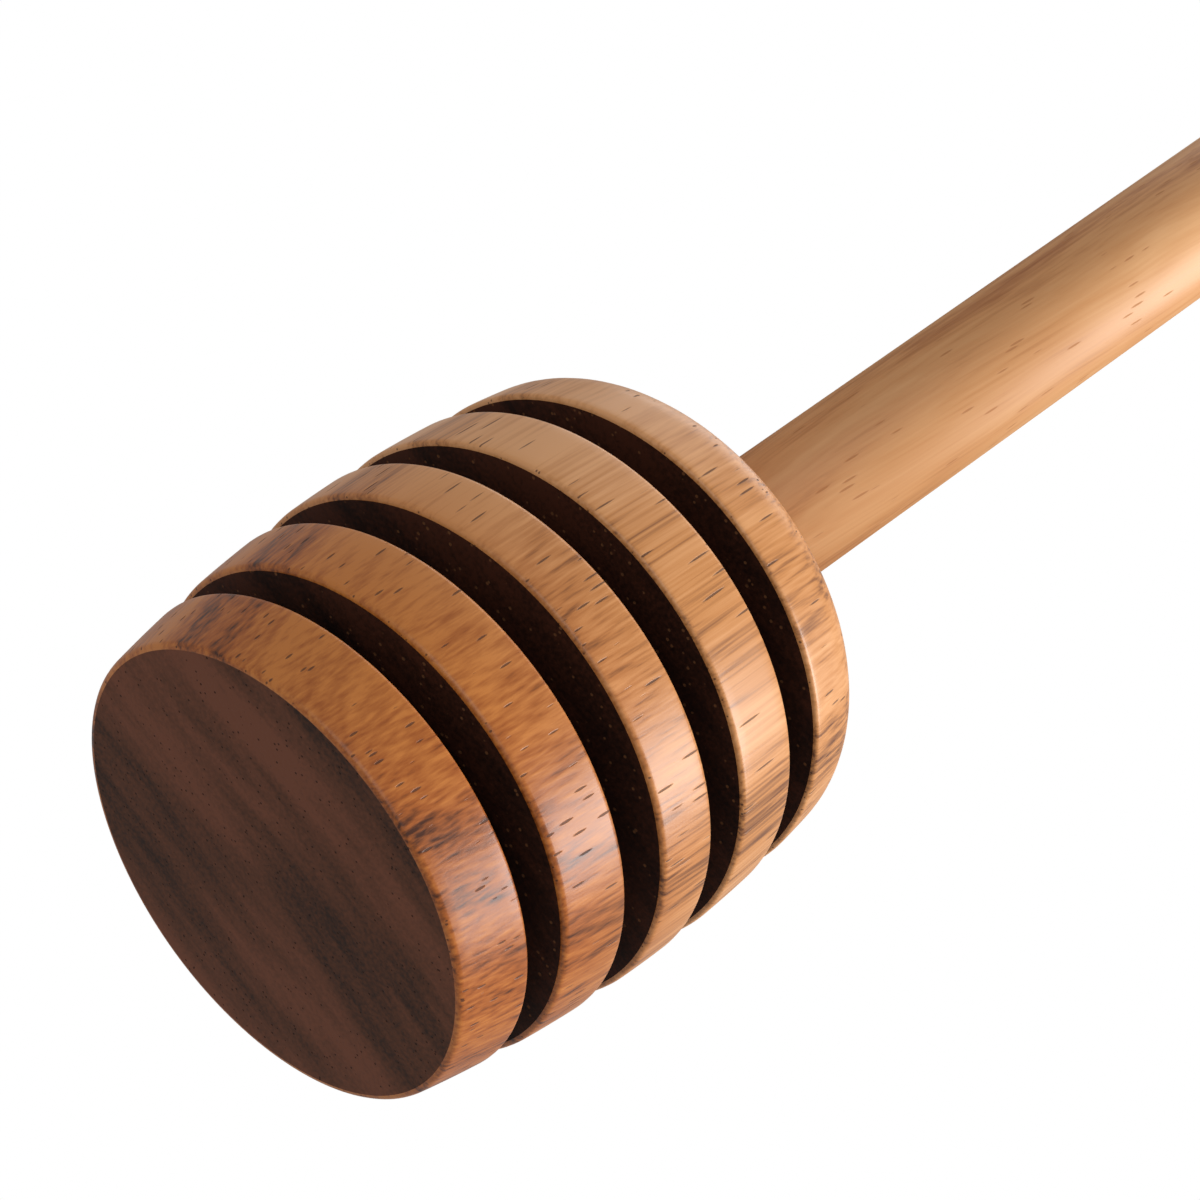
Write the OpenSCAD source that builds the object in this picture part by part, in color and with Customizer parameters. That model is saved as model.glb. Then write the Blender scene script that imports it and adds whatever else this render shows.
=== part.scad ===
// Honey dipper: a grooved, turned head glued onto a turned handle.
// Z is the turning axis, and the origin is the centre of the head's flat end.
// The handle's round tenon is glued into the blind socket drilled in the head's rear face.

/* [Head] */
// Greatest diameter of the barrel-shaped head
head_d = 36; // [32:0.5:44]
// Diameter of the head at its flat end
face_d = 30.2; // [26:0.2:31.6]
// Distance of the head's fullest place from the flat end
head_full_z = 24; // [18:0.5:28]
// Radius of the rounded shoulder at the rear of the head
shoulder_r = 3.5; // [1:0.25:5]
// Diameter of the core that the grooves leave
core_d = 17; // [13:0.5:22]
// Size of the eased edges of the rings
edge_ease = 0.3; // [0.1:0.05:0.6]

/* [Rings and grooves, from the flat end] */
// Width of the first ring
ring_1_w = 4.6; // [3:0.1:6]
// Width of the first groove
groove_1_w = 2.5; // [1.5:0.1:3.8]
// Width of the second ring
ring_2_w = 4.6; // [3:0.1:6]
// Width of the second groove
groove_2_w = 3.1; // [1.5:0.1:3.8]
// Width of the third ring
ring_3_w = 4.2; // [3:0.1:6]
// Width of the third groove
groove_3_w = 3; // [1.5:0.1:3.8]
// Width of the fourth ring
ring_4_w = 4.9; // [3:0.1:6]
// Width of the fourth groove
groove_4_w = 3; // [1.5:0.1:3.8]
// Width of the fifth ring, its rounded shoulder included
ring_5_w = 6.2; // [5.6:0.1:8]

/* [Handle] */
// Length of the handle outside the head
handle_l = 124; // [90:1:180]
// Diameter of the handle where it meets the head
neck_d = 9.8; // [9.4:0.1:11]
// Diameter of the handle at its rounded end
handle_end_d = 13; // [11.5:0.1:16]

/* [Glued joint] */
// Diameter of the tenon on the handle
tenon_d = 8; // [6:0.1:8.8]
// Length of the tenon
tenon_l = 20; // [12:0.5:24]
// Chamfer on the end of the tenon
tenon_chamfer = 0.8; // [0.3:0.1:1.5]
// Thickness of the glue all round the tenon
glue_t = 0.1; // [0.05:0.01:0.2]
// Room left for spare glue past the end of the tenon
glue_well = 1.5; // [0.5:0.1:2.5]
// Point angle of the drill that made the socket
drill_point = 118; // [90:1:135]

/* [Hidden] */

rings = [ring_1_w, ring_2_w, ring_3_w, ring_4_w, ring_5_w];
grooves = [groove_1_w, groove_2_w, groove_3_w, groove_4_w];
// Where ring i starts: the widths of all rings and grooves before it
function ring_z(i) = i == 0 ? 0 : ring_z(i - 1) + rings[i - 1] + grooves[i - 1];
head_l = ring_z(len(grooves)) + rings[len(grooves)];

head_r = head_d / 2;
face_r = face_d / 2;
core_r = core_d / 2;
tenon_r = tenon_d / 2;
socket_r = tenon_r + glue_t;
neck_r = neck_d / 2;
end_r = handle_end_d / 2;

// The barrel is one arc through the edge of the flat end and the fullest place
barrel_rise = head_r - face_r;
barrel_arc_r = (pow(head_full_z, 2) + pow(barrel_rise, 2)) / (2 * barrel_rise);
function barrel_r(z) = head_r - barrel_arc_r + sqrt(pow(barrel_arc_r, 2) - pow(z - head_full_z, 2));

// The shoulder arc touches the barrel arc at shoulder_z, and the rear face at its own top
shoulder_cz = head_l - shoulder_r;
shoulder_cr = head_r - barrel_arc_r
    + sqrt(pow(barrel_arc_r - shoulder_r, 2) - pow(shoulder_cz - head_full_z, 2));
shoulder_z = head_full_z + (shoulder_cz - head_full_z) * barrel_arc_r / (barrel_arc_r - shoulder_r);

socket_depth = tenon_l + glue_well;
point_h = socket_r / tan(drill_point / 2);

// The handle's cone meets its rounded end where both have the same slope
dome_z = head_l + handle_l - end_r;
cone_angle = atan((end_r - neck_r) / (dome_z - head_l));
over = 1;

// Outline of the head before grooving, to the right of the turning axis
module barrel_outline() {
    intersection() {
        translate([head_r - barrel_arc_r, head_full_z]) circle(r = barrel_arc_r, $fn = 360);
        union() {
            square([head_r, shoulder_z]);
            square([shoulder_cr, head_l]);
            translate([shoulder_cr, shoulder_cz]) circle(r = shoulder_r, $fn = 96);
        }
    }
}

// One groove from z1 to z2, with square walls and floor and eased mouth edges
module groove_outline(z1, z2) {
    r1 = barrel_r(z1);
    r2 = barrel_r(z2);
    polygon([
        [core_r, z1], [core_r, z2],
        [r2 - edge_ease, z2], [r2 + edge_ease, z2 + 2 * edge_ease],
        [r1 + edge_ease, z1 - 2 * edge_ease], [r1 - edge_ease, z1]
    ]);
}

// The eased edge between the flat end and the first ring
module face_edge_outline() {
    polygon([[face_r - edge_ease, 0], [face_r - 2 * edge_ease, -edge_ease],
             [face_r + over, -edge_ease], [face_r + over, edge_ease + over]]);
}

module head() {
    color("#7a4a2c") difference() {
        rotate_extrude($fn = 180) difference() {
            barrel_outline();
            face_edge_outline();
            for (i = [0 : len(grooves) - 1])
                groove_outline(ring_z(i) + rings[i], ring_z(i + 1));
        }
        translate([0, 0, head_l - socket_depth]) cylinder(r = socket_r, h = socket_depth + over, $fn = 96);
        translate([0, 0, head_l - socket_depth - point_h]) cylinder(r1 = 0, r2 = socket_r, h = point_h, $fn = 96);
    }
}

module handle() {
    color("#a9713f") rotate_extrude($fn = 128) {
        polygon([
            [0, head_l - tenon_l], [tenon_r - tenon_chamfer, head_l - tenon_l],
            [tenon_r, head_l - tenon_l + tenon_chamfer], [tenon_r, head_l], [neck_r, head_l],
            [end_r * cos(cone_angle), dome_z - end_r * sin(cone_angle)],
            [0, dome_z - end_r * sin(cone_angle)]
        ]);
        intersection() {
            translate([0, dome_z]) circle(r = end_r, $fn = 96);
            translate([0, dome_z - end_r * sin(cone_angle)]) square([end_r, 2 * end_r]);
        }
    }
}

module glue_film() {
    color("#d9c79a") translate([0, 0, head_l - tenon_l + tenon_chamfer]) difference() {
        cylinder(r = socket_r, h = tenon_l - tenon_chamfer, $fn = 96);
        translate([0, 0, -over]) cylinder(r = tenon_r, h = tenon_l + 2 * over, $fn = 96);
    }
}

head();
handle();
glue_film();
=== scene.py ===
import math

import bmesh
import bpy
from bpy.props import FloatProperty, FloatVectorProperty, PointerProperty
from mathutils import Matrix, Vector


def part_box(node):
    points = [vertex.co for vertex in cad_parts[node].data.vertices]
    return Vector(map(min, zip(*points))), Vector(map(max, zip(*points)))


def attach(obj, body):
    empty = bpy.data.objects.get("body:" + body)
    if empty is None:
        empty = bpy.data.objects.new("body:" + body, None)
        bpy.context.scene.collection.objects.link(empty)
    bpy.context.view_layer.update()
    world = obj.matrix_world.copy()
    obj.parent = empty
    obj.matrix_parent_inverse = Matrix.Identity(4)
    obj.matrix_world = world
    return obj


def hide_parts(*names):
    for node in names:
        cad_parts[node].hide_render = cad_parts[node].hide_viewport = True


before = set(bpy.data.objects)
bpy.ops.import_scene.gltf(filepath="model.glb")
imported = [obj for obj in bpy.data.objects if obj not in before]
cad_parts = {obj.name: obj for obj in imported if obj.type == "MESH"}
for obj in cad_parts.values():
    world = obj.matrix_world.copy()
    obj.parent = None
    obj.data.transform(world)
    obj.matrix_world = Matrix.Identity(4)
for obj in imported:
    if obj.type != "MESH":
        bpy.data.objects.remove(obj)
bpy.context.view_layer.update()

bl_info = {
    "name": "Honey Dipper",
    "version": (1, 0, 0),
    "blender": (4, 5, 0),
    "location": "3D View > Sidebar > Honey Dipper",
    "description": "Turns a walnut honey dipper and sets it on a plain stage",
    "category": "Add Mesh",
}

MM = 0.001
BODY = "root"
HEAD_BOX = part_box("head")
HANDLE_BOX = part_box("handle")
HEAD_LENGTH = HEAD_BOX[1][2] - HEAD_BOX[0][2]
HEAD_RADIUS = 18 * MM
HANDLE_BASE = HANDLE_BOX[0][2]
HANDLE_TOP = HANDLE_BOX[1][2]

# Turning: how finely the outlines are spun and how rounded corners are drawn
SPIN_STEPS = 192
RING_POINTS = 7
CORNER_POINTS = 4
SHOULDER_POINTS = 12
DOME_POINTS = 24
WELD = 0.001 * MM
# A face is shaded flat where its normal lies this close to the turning axis
FLAT_FACE = 0.9999
HALF_DRILL_POINT = math.radians(59)

# The head's materials, in the order of its slots
SIDE_WOOD = 0
END_WOOD = 1
# The grooves' wood carries painted shade: it is darker than the flat end's end grain
GROOVE_WOOD = 2

# The wood's grain, in millimetres, with the fibres along Z and a slight lean
GRAIN_LEAN = (math.radians(2), math.radians(-1.5))
WANDER_LENGTH = 30
WANDER_WIDTH = 2
BAND_BREADTH = 30
BAND_LENGTH = 120
FIBRE_WIDTH = 0.3
FIBRE_LENGTH = 20
PORE_CELL_LENGTH = 7
# A noise texture's values lie round this one
NOISE_MIDDLE = 0.5
# Distances from the middle of its cell at which a pore starts and is at its deepest
PORE_EDGE = 0.17
PORE_DEEPEST = 0.11
PORE_STRENGTH = 0.75
# What the pores and the fibres add to the roughness, and the fibres' part of the relief
PORE_DULLNESS = 0.25
FIBRE_DULLNESS = 0.16
FIBRE_RELIEF = 0.3
RELIEF_DEPTH = 0.12 * MM
# Places on a wood's ramp of its dark streaks, its body and its pale streaks
RAMP_PLACES = (0.34, 0.47, 0.63)
# Heights in millimetres between which the wood turns from deep to pale
PALER_FROM = 6.0
PALER_TO = 24.0
GLUE_CLOUD = 2 * MM

# Sockets of a Mix node that mixes colours
MIX_SHARE = 0
MIX_FROM = 6
MIX_TO = 7
MIX_RESULT = 2

# The stage: the paint of the floor fades out between two distances from the dipper
FLOOR_HALF_SIDE = 3
FLOOR_DROP = 0.05 * MM
PAINT_WHOLE = 120 * MM
PAINT_GONE = 400 * MM
SURROUNDINGS_LEVEL = 0.4

# The photograph's camera: x to the right, y down, z away from the camera.
# The turning axis points from the flat end to the handle's end.
PHOTO_PIXELS = 1200
FOCAL_PIXELS = 2200
SENSOR_MM = 36
TURNING_AXIS_SEEN = Vector((0.6322, -0.4353, 0.641)).normalized()
FACE_CENTRE_SEEN = Vector((-19.25, 16.02, 126.4)) * MM


def linear(hex_colour):
    """Turn an sRGB hex colour into the linear values that Blender works with."""
    channels = [int(hex_colour[i:i + 2], 16) / 255 for i in (1, 3, 5)]
    return tuple(c / 12.92 if c <= 0.04045 else ((c + 0.055) / 1.055) ** 2.4 for c in channels)


class DipperHeadSizes(bpy.types.PropertyGroup):
    """Sizes of the grooved head."""
    face_radius: FloatProperty(
        name="Flat end radius", description="Radius of the head at its flat end",
        default=15.1 * MM, unit="LENGTH")
    full_height: FloatProperty(
        name="Fullest place", description="Distance of the widest place from the flat end",
        default=24 * MM, unit="LENGTH")
    core_radius: FloatProperty(
        name="Core radius", description="Radius of the core that the grooves leave",
        default=8.5 * MM, unit="LENGTH")
    shoulder_radius: FloatProperty(
        name="Shoulder radius", description="Radius of the rounded rear shoulder",
        default=3.5 * MM, unit="LENGTH")
    edge_ease: FloatProperty(
        name="Edge ease", description="How far each ring's edges are sanded back",
        default=0.35 * MM, unit="LENGTH")
    ring_widths: FloatVectorProperty(
        name="Ring widths", description="Widths of the rings, from the flat end",
        default=[w * MM for w in (4.6, 4.6, 4.2, 4.9, 6.2)], size=5, unit="LENGTH")
    groove_widths: FloatVectorProperty(
        name="Groove widths", description="Widths of the grooves, from the flat end",
        default=[w * MM for w in (2.5, 3.1, 3.0, 3.0)], size=4, unit="LENGTH")
    socket_radius: FloatProperty(
        name="Socket radius", description="Radius of the drilled socket for the handle",
        default=4.1 * MM, unit="LENGTH")
    socket_depth: FloatProperty(
        name="Socket depth", description="Depth of the socket's straight wall",
        default=21.5 * MM, unit="LENGTH")


class DipperHandleSizes(bpy.types.PropertyGroup):
    """Sizes of the handle and its tenon."""
    tenon_radius: FloatProperty(
        name="Tenon radius", description="Radius of the tenon in the head's socket",
        default=4 * MM, unit="LENGTH")
    tenon_chamfer: FloatProperty(
        name="Tenon chamfer", description="Chamfer on the end of the tenon",
        default=0.8 * MM, unit="LENGTH")
    neck_radius: FloatProperty(
        name="Neck radius", description="Radius of the handle where it leaves the head",
        default=4.9 * MM, unit="LENGTH")
    end_radius: FloatProperty(
        name="End radius", description="Radius of the handle's rounded end",
        default=6.5 * MM, unit="LENGTH")


class DipperColours(bpy.types.PropertyGroup):
    """Main colours of the woods."""
    head_light: FloatVectorProperty(
        name="Head wood", description="Lightest wood of the head, towards the handle",
        default=linear("#dda06a"), size=3, subtype="COLOR")
    # The head's colour at the flat end, where the wood is deeper and redder than towards the handle
    head_deep: FloatVectorProperty(
        name="Deep head wood", description="Wood of the head near the flat end, at its deepest",
        default=linear("#c47835"), size=3, subtype="COLOR")
    handle_light: FloatVectorProperty(
        name="Handle wood", description="Lightest wood of the handle",
        default=linear("#dfa975"), size=3, subtype="COLOR")
    floor: FloatVectorProperty(
        name="Floor", description="Colour of the plain floor",
        default=linear("#f3f1ee"), size=3, subtype="COLOR")


def add_node(tree, kind, inputs=None, stops=(), **settings):
    """Add a node with its settings, set or link its inputs, and place a ramp's stops."""
    node = tree.nodes.new(kind)
    for name, value in settings.items():
        setattr(node, name, value)
    for key, value in (inputs or {}).items():
        if isinstance(value, bpy.types.NodeSocket):
            tree.links.new(value, node.inputs[key])
        else:
            node.inputs[key].default_value = value
    for i, (place, colour) in enumerate(stops):
        ramp = node.color_ramp.elements
        stop = ramp[i] if i < 2 else ramp.new(place)
        stop.position = place
        stop.color = (*colour, 1)
    return node


def start_material(name):
    """Make an empty node material and return it with its tree."""
    material = bpy.data.materials.new(name)
    material.use_nodes = True
    material.node_tree.nodes.clear()
    return material, material.node_tree


def turned_wood(name, near, far, pore, turn, band_mm=4.5, pore_mm=0.6, fibre_share=0.45,
                roughness=0.42, relief=0.35, specular=0.5):
    """Wood cut from one block: the pattern is solid, so streaks run on from ring to ring.

    near and far are the colours, dark to light, at the flat end and past the head.
    The fibres run along Z, so a face across Z shows bands and pore dots, and a
    turned side shows long streaks and short dark pore lines.
    """
    material, tree = start_material(name)
    coords = add_node(tree, "ShaderNodeTexCoord").outputs["Object"]
    # Object metres become millimetres, and the block is turned on the lathe's axis
    block = add_node(tree, "ShaderNodeMapping", {
        "Vector": coords, "Scale": (1 / MM, 1 / MM, 1 / MM),
        "Rotation": (*GRAIN_LEAN, math.radians(turn))}).outputs[0]
    # The fibres wander about half a millimetre over 30 mm
    wander = add_node(tree, "ShaderNodeTexNoise", {
        "Vector": block, "Scale": 1 / WANDER_LENGTH, "Detail": 1.0}).outputs["Color"]
    shift = add_node(tree, "ShaderNodeVectorMath", {
        0: wander, 1: (NOISE_MIDDLE,) * 3}, operation="SUBTRACT").outputs[0]
    wood = add_node(tree, "ShaderNodeVectorMath", {
        0: shift, 1: (WANDER_WIDTH,) * 3, 2: block}, operation="MULTIPLY_ADD").outputs[0]

    # Growth bands, band_mm apart across the block and many times longer along it
    band_place = add_node(tree, "ShaderNodeVectorMath", {
        0: wood, 1: (1 / band_mm, 1 / BAND_BREADTH, 1 / BAND_LENGTH)}, operation="MULTIPLY").outputs[0]
    bands = add_node(tree, "ShaderNodeTexNoise", {
        "Vector": band_place, "Scale": 1.0, "Detail": 4.0, "Roughness": 0.62}).outputs["Fac"]
    # Fibres 0.3 mm wide and 20 mm long
    fibre_place = add_node(tree, "ShaderNodeVectorMath", {
        0: wood, 1: (1 / FIBRE_WIDTH, 1 / FIBRE_WIDTH, 1 / FIBRE_LENGTH)}, operation="MULTIPLY").outputs[0]
    fibres = add_node(tree, "ShaderNodeTexNoise", {
        "Vector": fibre_place, "Scale": 1.0, "Detail": 3.0}).outputs["Fac"]
    # Pores about 0.15 mm wide and 2 mm long, one in each cell of the wood
    pore_place = add_node(tree, "ShaderNodeVectorMath", {
        0: wood, 1: (1 / pore_mm, 1 / pore_mm, 1 / PORE_CELL_LENGTH)}, operation="MULTIPLY").outputs[0]
    cells = add_node(tree, "ShaderNodeTexVoronoi", {"Vector": pore_place, "Scale": 1.0}).outputs["Distance"]
    pores = add_node(tree, "ShaderNodeMapRange", {
        "Value": cells, "From Min": PORE_EDGE, "From Max": PORE_DEEPEST}).outputs[0]

    streaks = add_node(tree, "ShaderNodeMath", {
        0: fibres, 1: fibre_share, 2: bands}, operation="MULTIPLY_ADD").outputs[0]
    grain = add_node(tree, "ShaderNodeMath", {
        0: streaks, 1: NOISE_MIDDLE * fibre_share}, operation="SUBTRACT").outputs[0]
    near_wood = add_node(tree, "ShaderNodeValToRGB", {"Fac": grain}, stops=near).outputs[0]
    far_wood = add_node(tree, "ShaderNodeValToRGB", {"Fac": grain}, stops=far).outputs[0]
    # The wood is deeper and redder at the flat end and turns paler towards the handle
    along = add_node(tree, "ShaderNodeSeparateXYZ", {0: block}).outputs["Z"]
    paler = add_node(tree, "ShaderNodeMapRange", {
        "Value": along, "From Min": PALER_FROM, "From Max": PALER_TO},
        interpolation_type="SMOOTHSTEP").outputs[0]
    plain = add_node(tree, "ShaderNodeMix", {
        MIX_SHARE: paler, MIX_FROM: near_wood, MIX_TO: far_wood}, data_type="RGBA").outputs[MIX_RESULT]
    pore_share = add_node(tree, "ShaderNodeMath", {
        0: pores, 1: PORE_STRENGTH}, operation="MULTIPLY").outputs[0]
    colour = add_node(tree, "ShaderNodeMix", {
        MIX_SHARE: pore_share, MIX_FROM: plain, MIX_TO: (*pore, 1)}, data_type="RGBA").outputs[MIX_RESULT]

    # Satin between the pores, a little uneven from fibre to fibre, and dull in the open pores
    dull_pores = add_node(tree, "ShaderNodeMath", {
        0: pores, 1: PORE_DULLNESS, 2: roughness}, operation="MULTIPLY_ADD").outputs[0]
    uneven = add_node(tree, "ShaderNodeMath", {
        0: fibres, 1: FIBRE_DULLNESS, 2: dull_pores}, operation="MULTIPLY_ADD").outputs[0]
    satin = add_node(tree, "ShaderNodeMath", {
        0: uneven, 1: NOISE_MIDDLE * FIBRE_DULLNESS}, operation="SUBTRACT").outputs[0]
    fibre_height = add_node(tree, "ShaderNodeMath", {
        0: fibres, 1: FIBRE_RELIEF}, operation="MULTIPLY").outputs[0]
    surface = add_node(tree, "ShaderNodeMath", {0: fibre_height, 1: pores}, operation="SUBTRACT").outputs[0]
    bump = add_node(tree, "ShaderNodeBump", {
        "Height": surface, "Strength": relief, "Distance": RELIEF_DEPTH}).outputs[0]
    shader = add_node(tree, "ShaderNodeBsdfPrincipled", {
        "Base Color": colour, "Roughness": satin, "IOR": 1.48, "Specular IOR Level": specular,
        "Normal": bump})
    add_node(tree, "ShaderNodeOutputMaterial", {"Surface": shader.outputs[0]})
    return material


def ramp_of(dark, middle, light):
    """Stops of a wood's ramp: rare dark streaks, then the body of the wood, then pale streaks."""
    return tuple(zip(RAMP_PLACES, (dark, middle, light)))


def oiled_walnut_side():
    """Oiled walnut, turned and sanded: golden to reddish brown with fine dark pore lines."""
    colours = bpy.context.scene.dipper_colours
    near = ramp_of(linear("#47220f"), linear("#a0561f"), tuple(colours.head_deep))
    far = ramp_of(linear("#70442a"), linear("#c5854d"), tuple(colours.head_light))
    return turned_wood("oiled_walnut_turned_side", near, far, linear("#3a1d0e"), turn=52,
                       pore_mm=0.5, roughness=0.36)


def oiled_walnut_end():
    """Oiled walnut across the grain: it drinks more oil, so it is dark, with soft bands and dots."""
    end = ramp_of(linear("#2e1b12"), linear("#573321"), linear("#734430"))
    return turned_wood("oiled_walnut_end_grain", end, end, linear("#25140d"), turn=52,
                       band_mm=6, pore_mm=0.55, fibre_share=0.3, roughness=0.6, relief=0.3, specular=0.2)


def groove_walnut_painted_shade():
    """Walnut parted across the grain in the grooves: dark end grain, painted still darker, almost black, as
    painted shade deep in the grooves, with pale dust in its pores.
    """
    wall = ramp_of(linear("#1b0b06"), linear("#30170d"), linear("#472416"))
    return turned_wood("groove_wall_painted_shade", wall, wall, linear("#7a5030"), turn=52,
                       pore_mm=0.8, roughness=0.7, relief=0.3, specular=0.2)


def oiled_handle_wood():
    """Straight-grained, paler sapwood of the handle: tan to orange, with long soft streaks."""
    colours = bpy.context.scene.dipper_colours
    wood = ramp_of(linear("#a96a3c"), linear("#d1955f"), tuple(colours.handle_light))
    return turned_wood("oiled_sapwood_turned_handle", wood, wood, linear("#b27545"), turn=20,
                       band_mm=5, fibre_share=0.22, roughness=0.46, relief=0.12)


def dried_wood_glue():
    """Dried wood glue: a hard, pale yellow film, uneven where it was squeezed."""
    material, tree = start_material("dried_wood_glue")
    coords = add_node(tree, "ShaderNodeTexCoord").outputs["Object"]
    # Cloudy patches about 2 mm across
    clouds = add_node(tree, "ShaderNodeTexNoise", {"Vector": coords, "Scale": 1 / GLUE_CLOUD}).outputs["Fac"]
    colour = add_node(tree, "ShaderNodeMix", {
        MIX_SHARE: clouds, MIX_FROM: (*linear("#c9b682"), 1), MIX_TO: (*linear("#e3d6aa"), 1)},
        data_type="RGBA").outputs[MIX_RESULT]
    shader = add_node(tree, "ShaderNodeBsdfPrincipled", {"Base Color": colour, "Roughness": 0.35})
    add_node(tree, "ShaderNodeOutputMaterial", {"Surface": shader.outputs[0]})
    return material


def eased(outline):
    """Round each corner of an outline of (radius, height, ease) whose ease isn't 0."""
    points = [Vector((r, z)) for r, z, _ in outline]
    smooth = []
    for i, corner in enumerate(points):
        ease = outline[i][2]
        if not ease:
            smooth.append(corner)
            continue
        start = corner + (points[i - 1] - corner).normalized() * ease
        end = corner + (points[i + 1] - corner).normalized() * ease
        for step in range(CORNER_POINTS + 1):
            t = step / CORNER_POINTS
            smooth.append(start * (1 - t) ** 2 + corner * 2 * t * (1 - t) + end * t ** 2)
    return smooth


def turn_on_lathe(name, outline):
    """Spin an outline of (radius, height) points round Z into a closed mesh object."""
    mesh = bmesh.new()
    verts = [mesh.verts.new((p.x, 0, p.y)) for p in outline]
    edges = [mesh.edges.new(pair) for pair in zip(verts, verts[1:])]
    bmesh.ops.spin(mesh, geom=verts + edges, cent=(0, 0, 0), axis=(0, 0, 1),
                   angle=2 * math.pi, steps=SPIN_STEPS, use_merge=True)
    bmesh.ops.remove_doubles(mesh, verts=mesh.verts, dist=WELD)
    bmesh.ops.recalc_face_normals(mesh, faces=mesh.faces)
    for face in mesh.faces:
        face.smooth = abs(face.normal.z) < FLAT_FACE
    data = bpy.data.meshes.new(name)
    mesh.to_mesh(data)
    mesh.free()
    piece = bpy.data.objects.new(name, data)
    bpy.context.scene.collection.objects.link(piece)
    return piece


def barrel_arc(sizes):
    """Centre radius and radius of the one arc that shapes the head's barrel."""
    rise = HEAD_RADIUS - sizes.face_radius
    arc = (sizes.full_height ** 2 + rise ** 2) / (2 * rise)
    return HEAD_RADIUS - arc, arc


def barrel_radius(sizes, z):
    """Radius of the head's barrel at height z."""
    centre, arc = barrel_arc(sizes)
    return centre + math.sqrt(arc ** 2 - (z - sizes.full_height) ** 2)


def head_outline(sizes):
    """Outline of the head from the flat end's centre, over the rings, into the socket."""
    ease = sizes.edge_ease
    points = [(0, 0, 0)]
    z = 0
    rings = list(sizes.ring_widths)
    for i, ring in enumerate(rings[:-1]):
        top = z + ring
        points.append((barrel_radius(sizes, z), z, ease))
        for step in range(1, RING_POINTS):
            between = z + ease + (ring - 2 * ease) * step / RING_POINTS
            points.append((barrel_radius(sizes, between), between, 0))
        points.append((barrel_radius(sizes, top), top, ease))
        z = top + sizes.groove_widths[i]
        points += [(sizes.core_radius, top, 0), (sizes.core_radius, z, 0)]
    points.append((barrel_radius(sizes, z), z, ease))
    centre, arc = barrel_arc(sizes)
    bend = sizes.shoulder_radius
    bend_z = HEAD_LENGTH - bend
    bend_r = centre + math.sqrt((arc - bend) ** 2 - (bend_z - sizes.full_height) ** 2)
    start = math.atan2(bend_z - sizes.full_height, bend_r - centre)
    bend_start = bend_z + bend * math.sin(start)
    for step in range(1, RING_POINTS):
        between = z + ease + (bend_start - z - ease) * step / RING_POINTS
        points.append((barrel_radius(sizes, between), between, 0))
    for step in range(SHOULDER_POINTS + 1):
        angle = start + (math.pi / 2 - start) * step / SHOULDER_POINTS
        points.append((bend_r + bend * math.cos(angle), bend_z + bend * math.sin(angle), 0))
    socket_z = HEAD_LENGTH - sizes.socket_depth
    drill_cone = sizes.socket_radius / math.tan(HALF_DRILL_POINT)
    points += [(sizes.socket_radius, HEAD_LENGTH, 0), (sizes.socket_radius, socket_z, 0),
               (0, socket_z - drill_cone, 0)]
    return eased(points)


class DIPPER_OT_head(bpy.types.Operator):
    """Turn the grooved head and give each cut its own surface"""
    bl_idname = "dipper.head"
    bl_label = "Turn Head"

    def execute(self, context):
        sizes = context.scene.dipper_head
        head = turn_on_lathe("turned_head", head_outline(sizes))
        for material in (oiled_walnut_side(), oiled_walnut_end(), groove_walnut_painted_shade()):
            head.data.materials.append(material)
        # A cut well under the barrel's surface is a groove or the socket, and takes the groove wood with its
        # painted shade
        depth = 2 * sizes.edge_ease
        for face in head.data.polygons:
            radius = math.hypot(face.center.x, face.center.y)
            z = face.center.z
            face.material_index = SIDE_WOOD
            if z < WELD:
                face.material_index = END_WOOD
            elif z < HEAD_LENGTH - sizes.shoulder_radius and radius < barrel_radius(sizes, z) - depth:
                face.material_index = GROOVE_WOOD
        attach(head, BODY)
        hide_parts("head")
        return {"FINISHED"}


class DIPPER_OT_handle(bpy.types.Operator):
    """Turn the tapered handle with its tenon and rounded end"""
    bl_idname = "dipper.handle"
    bl_label = "Turn Handle"

    def execute(self, context):
        sizes = context.scene.dipper_handle
        end = sizes.end_radius
        dome_z = HANDLE_TOP - end
        slope = math.atan((end - sizes.neck_radius) / (dome_z - HEAD_LENGTH))
        points = [
            (0, HANDLE_BASE, 0),
            (sizes.tenon_radius - sizes.tenon_chamfer, HANDLE_BASE, 0),
            (sizes.tenon_radius, HANDLE_BASE + sizes.tenon_chamfer, 0),
            (sizes.tenon_radius, HEAD_LENGTH, 0),
            (sizes.neck_radius, HEAD_LENGTH, 0),
        ]
        for step in range(DOME_POINTS + 1):
            angle = -slope + (math.pi / 2 + slope) * step / DOME_POINTS
            points.append((end * math.cos(angle), dome_z + end * math.sin(angle), 0))
        handle = turn_on_lathe("turned_handle", eased(points))
        handle.data.materials.append(oiled_handle_wood())
        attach(handle, BODY)
        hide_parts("handle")
        return {"FINISHED"}


class DIPPER_OT_glue(bpy.types.Operator):
    """Finish the glue film between the tenon and the socket"""
    bl_idname = "dipper.glue"
    bl_label = "Finish Glue"

    def execute(self, context):
        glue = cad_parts["glue_film"]
        glue.data.materials.clear()
        glue.data.materials.append(dried_wood_glue())
        return {"FINISHED"}


def seen_to_row(direction):
    """Turn a direction in the photograph's camera into the object's own frame."""
    across = Vector((1, 0, 0))
    row_x = (across - TURNING_AXIS_SEEN * across.dot(TURNING_AXIS_SEEN)).normalized()
    row_y = TURNING_AXIS_SEEN.cross(row_x)
    return Vector((direction.dot(row_x), direction.dot(row_y), direction.dot(TURNING_AXIS_SEEN)))


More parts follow.
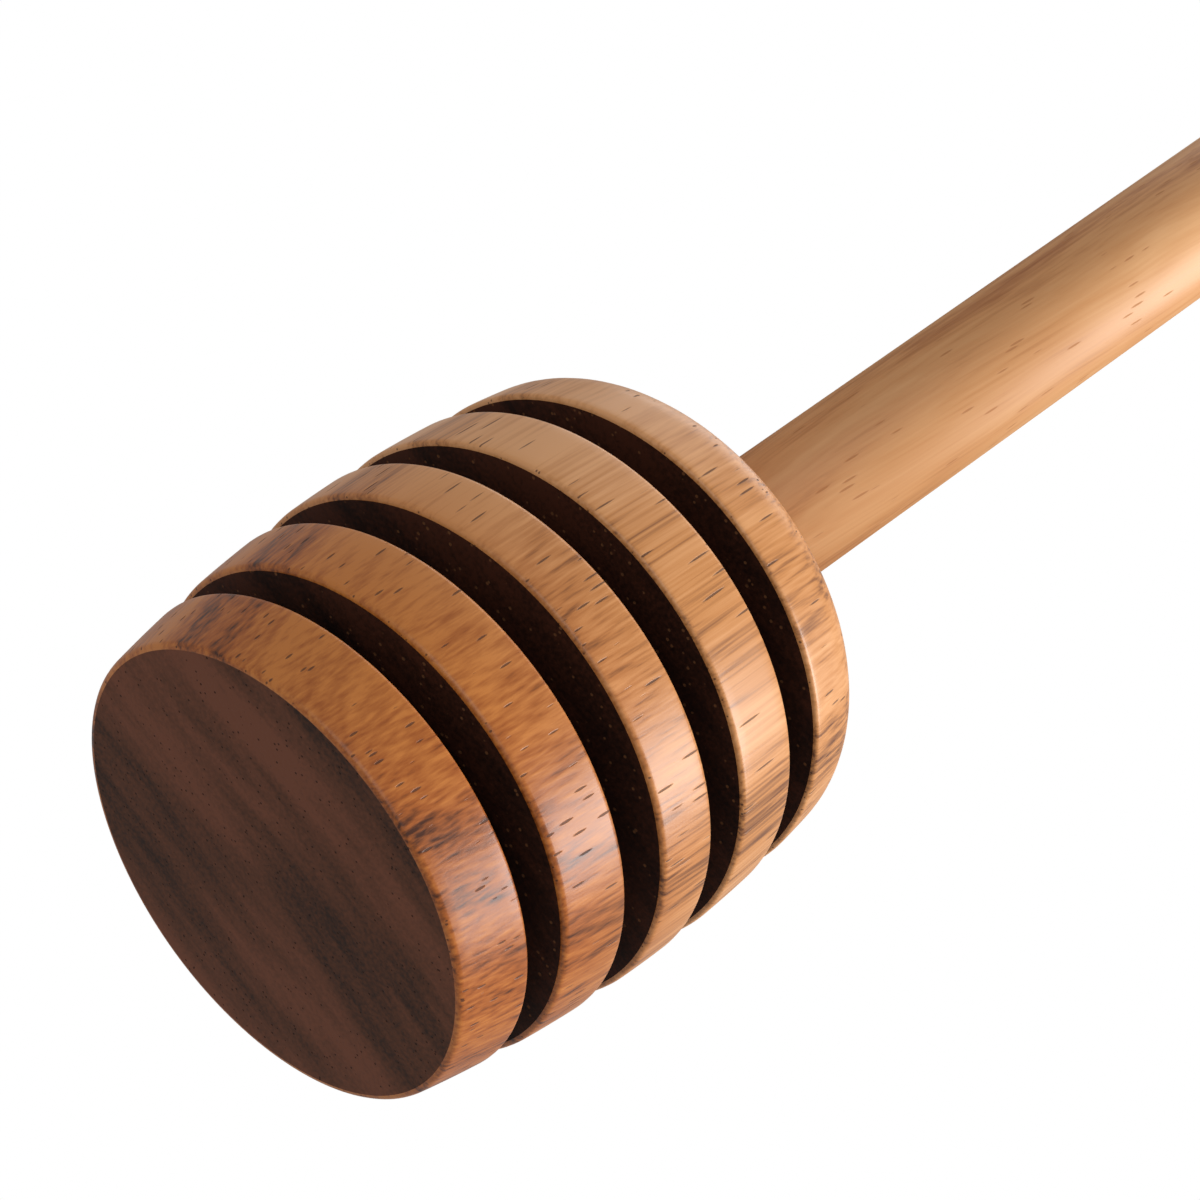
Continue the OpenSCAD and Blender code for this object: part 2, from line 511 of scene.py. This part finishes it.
def add_soft_lamp(name, direction, distance, side, level):
    """Hang a square lamp that gives a facing surface the stated share of plain white light."""
    data = bpy.data.lights.new(name, "AREA")
    data.size = side
    data.energy = level * (math.pi * distance) ** 2
    lamp = bpy.data.objects.new(name, data)
    bpy.context.scene.collection.objects.link(lamp)
    aim = Vector((0, 0, HEAD_LENGTH / 2))
    lamp.location = aim + direction.normalized() * distance
    lamp.rotation_euler = direction.to_track_quat("Z", "Y").to_euler()
    lamp.visible_camera = False


def floor_material(colour):
    """Plain pale paint that fades to the white surroundings, and is clear from below."""
    material, tree = start_material("matt_painted_floor")
    paint = add_node(tree, "ShaderNodeBsdfDiffuse", {"Color": (*colour, 1)}).outputs[0]
    white = add_node(tree, "ShaderNodeEmission", {"Color": (1, 1, 1, 1), "Strength": 1.0}).outputs[0]
    place = add_node(tree, "ShaderNodeTexCoord").outputs["Object"]
    distance = add_node(tree, "ShaderNodeVectorMath", {0: place}, operation="LENGTH").outputs["Value"]
    fade = add_node(tree, "ShaderNodeMapRange", {
        "Value": distance, "From Min": PAINT_WHOLE, "From Max": PAINT_GONE},
        interpolation_type="SMOOTHSTEP").outputs[0]
    above = add_node(tree, "ShaderNodeMixShader", {0: fade, 1: paint, 2: white}).outputs[0]
    below = add_node(tree, "ShaderNodeNewGeometry").outputs["Backfacing"]
    clear = add_node(tree, "ShaderNodeBsdfTransparent").outputs[0]
    both = add_node(tree, "ShaderNodeMixShader", {0: below, 1: above, 2: clear}).outputs[0]
    add_node(tree, "ShaderNodeOutputMaterial", {"Surface": both})
    return material


class DIPPER_OT_stage(bpy.types.Operator):
    """Set the floor, the lamps, the white surroundings and the photograph's camera"""
    bl_idname = "dipper.stage"
    bl_label = "Set Stage"

    def execute(self, context):
        scene = context.scene
        mesh = bmesh.new()
        bmesh.ops.create_grid(mesh, x_segments=1, y_segments=1, size=FLOOR_HALF_SIDE)
        bmesh.ops.translate(mesh, verts=mesh.verts, vec=(0, 0, -FLOOR_DROP))
        data = bpy.data.meshes.new("floor")
        mesh.to_mesh(data)
        mesh.free()
        floor = bpy.data.objects.new("floor", data)
        scene.collection.objects.link(floor)
        data.materials.append(floor_material(scene.dipper_colours.floor))
        # The photograph looks at the flat end from below, so the floor takes none of its light
        floor.visible_shadow = False
        floor.visible_diffuse = False
        floor.visible_glossy = False

        add_soft_lamp("window", seen_to_row(Vector((0.95, 0.25, -0.15))),
                      distance=0.6, side=0.35, level=1.15)
        add_soft_lamp("front_fill", seen_to_row(Vector((-0.1, -0.2, -0.9))),
                      distance=0.7, side=0.5, level=0.2)
        add_soft_lamp("overhead", Vector((-0.2, -0.3, 1)), distance=0.8, side=0.6, level=0.3)
        world = bpy.data.worlds.new("white_studio")
        world.use_nodes = True
        tree = world.node_tree
        tree.nodes.clear()
        seen = add_node(tree, "ShaderNodeLightPath").outputs["Is Camera Ray"]
        # The surroundings show as white, and light the dipper less than that
        level = add_node(tree, "ShaderNodeMapRange", {
            "Value": seen, "To Min": SURROUNDINGS_LEVEL, "To Max": 1.0}).outputs[0]
        light = add_node(tree, "ShaderNodeBackground", {"Color": (1, 1, 1, 1), "Strength": level}).outputs[0]
        add_node(tree, "ShaderNodeOutputWorld", {"Surface": light})
        scene.world = world

        data = bpy.data.cameras.new("photo_camera")
        data.sensor_width = SENSOR_MM
        data.lens = FOCAL_PIXELS / PHOTO_PIXELS * SENSOR_MM
        data.clip_start = 0.01
        camera = bpy.data.objects.new("photo_camera", data)
        scene.collection.objects.link(camera)
        turn = Matrix((seen_to_row(Vector((1, 0, 0))), seen_to_row(Vector((0, -1, 0))),
                       seen_to_row(Vector((0, 0, -1))))).transposed()
        camera.matrix_world = Matrix.Translation(seen_to_row(-FACE_CENTRE_SEEN)) @ turn.to_4x4()
        scene.camera = camera
        scene.view_settings.view_transform = "Standard"
        return {"FINISHED"}


class DIPPER_PT_panel(bpy.types.Panel):
    """Panel with the dipper's pieces and stage"""
    bl_label = "Honey Dipper"
    bl_idname = "DIPPER_PT_panel"
    bl_space_type = "VIEW_3D"
    bl_region_type = "UI"
    bl_category = "Honey Dipper"

    def draw(self, context):
        column = self.layout.column()
        for group in (context.scene.dipper_head, context.scene.dipper_handle, context.scene.dipper_colours):
            for name in group.__annotations__:
                column.prop(group, name)
        for operator in OPERATORS:
            column.operator(operator.bl_idname)


OPERATORS = (DIPPER_OT_stage, DIPPER_OT_head, DIPPER_OT_handle, DIPPER_OT_glue)
CLASSES = (DipperHeadSizes, DipperHandleSizes, DipperColours, *OPERATORS, DIPPER_PT_panel)


def register():
    for cls in CLASSES:
        bpy.utils.register_class(cls)
    bpy.types.Scene.dipper_head = PointerProperty(type=DipperHeadSizes)
    bpy.types.Scene.dipper_handle = PointerProperty(type=DipperHandleSizes)
    bpy.types.Scene.dipper_colours = PointerProperty(type=DipperColours)


def unregister():
    del bpy.types.Scene.dipper_colours
    del bpy.types.Scene.dipper_handle
    del bpy.types.Scene.dipper_head
    for cls in reversed(CLASSES):
        bpy.utils.unregister_class(cls)


def main():
    register()
    bpy.ops.dipper.stage()
    bpy.ops.dipper.head()
    bpy.ops.dipper.handle()
    bpy.ops.dipper.glue()


if __name__ == "__main__":
    main()
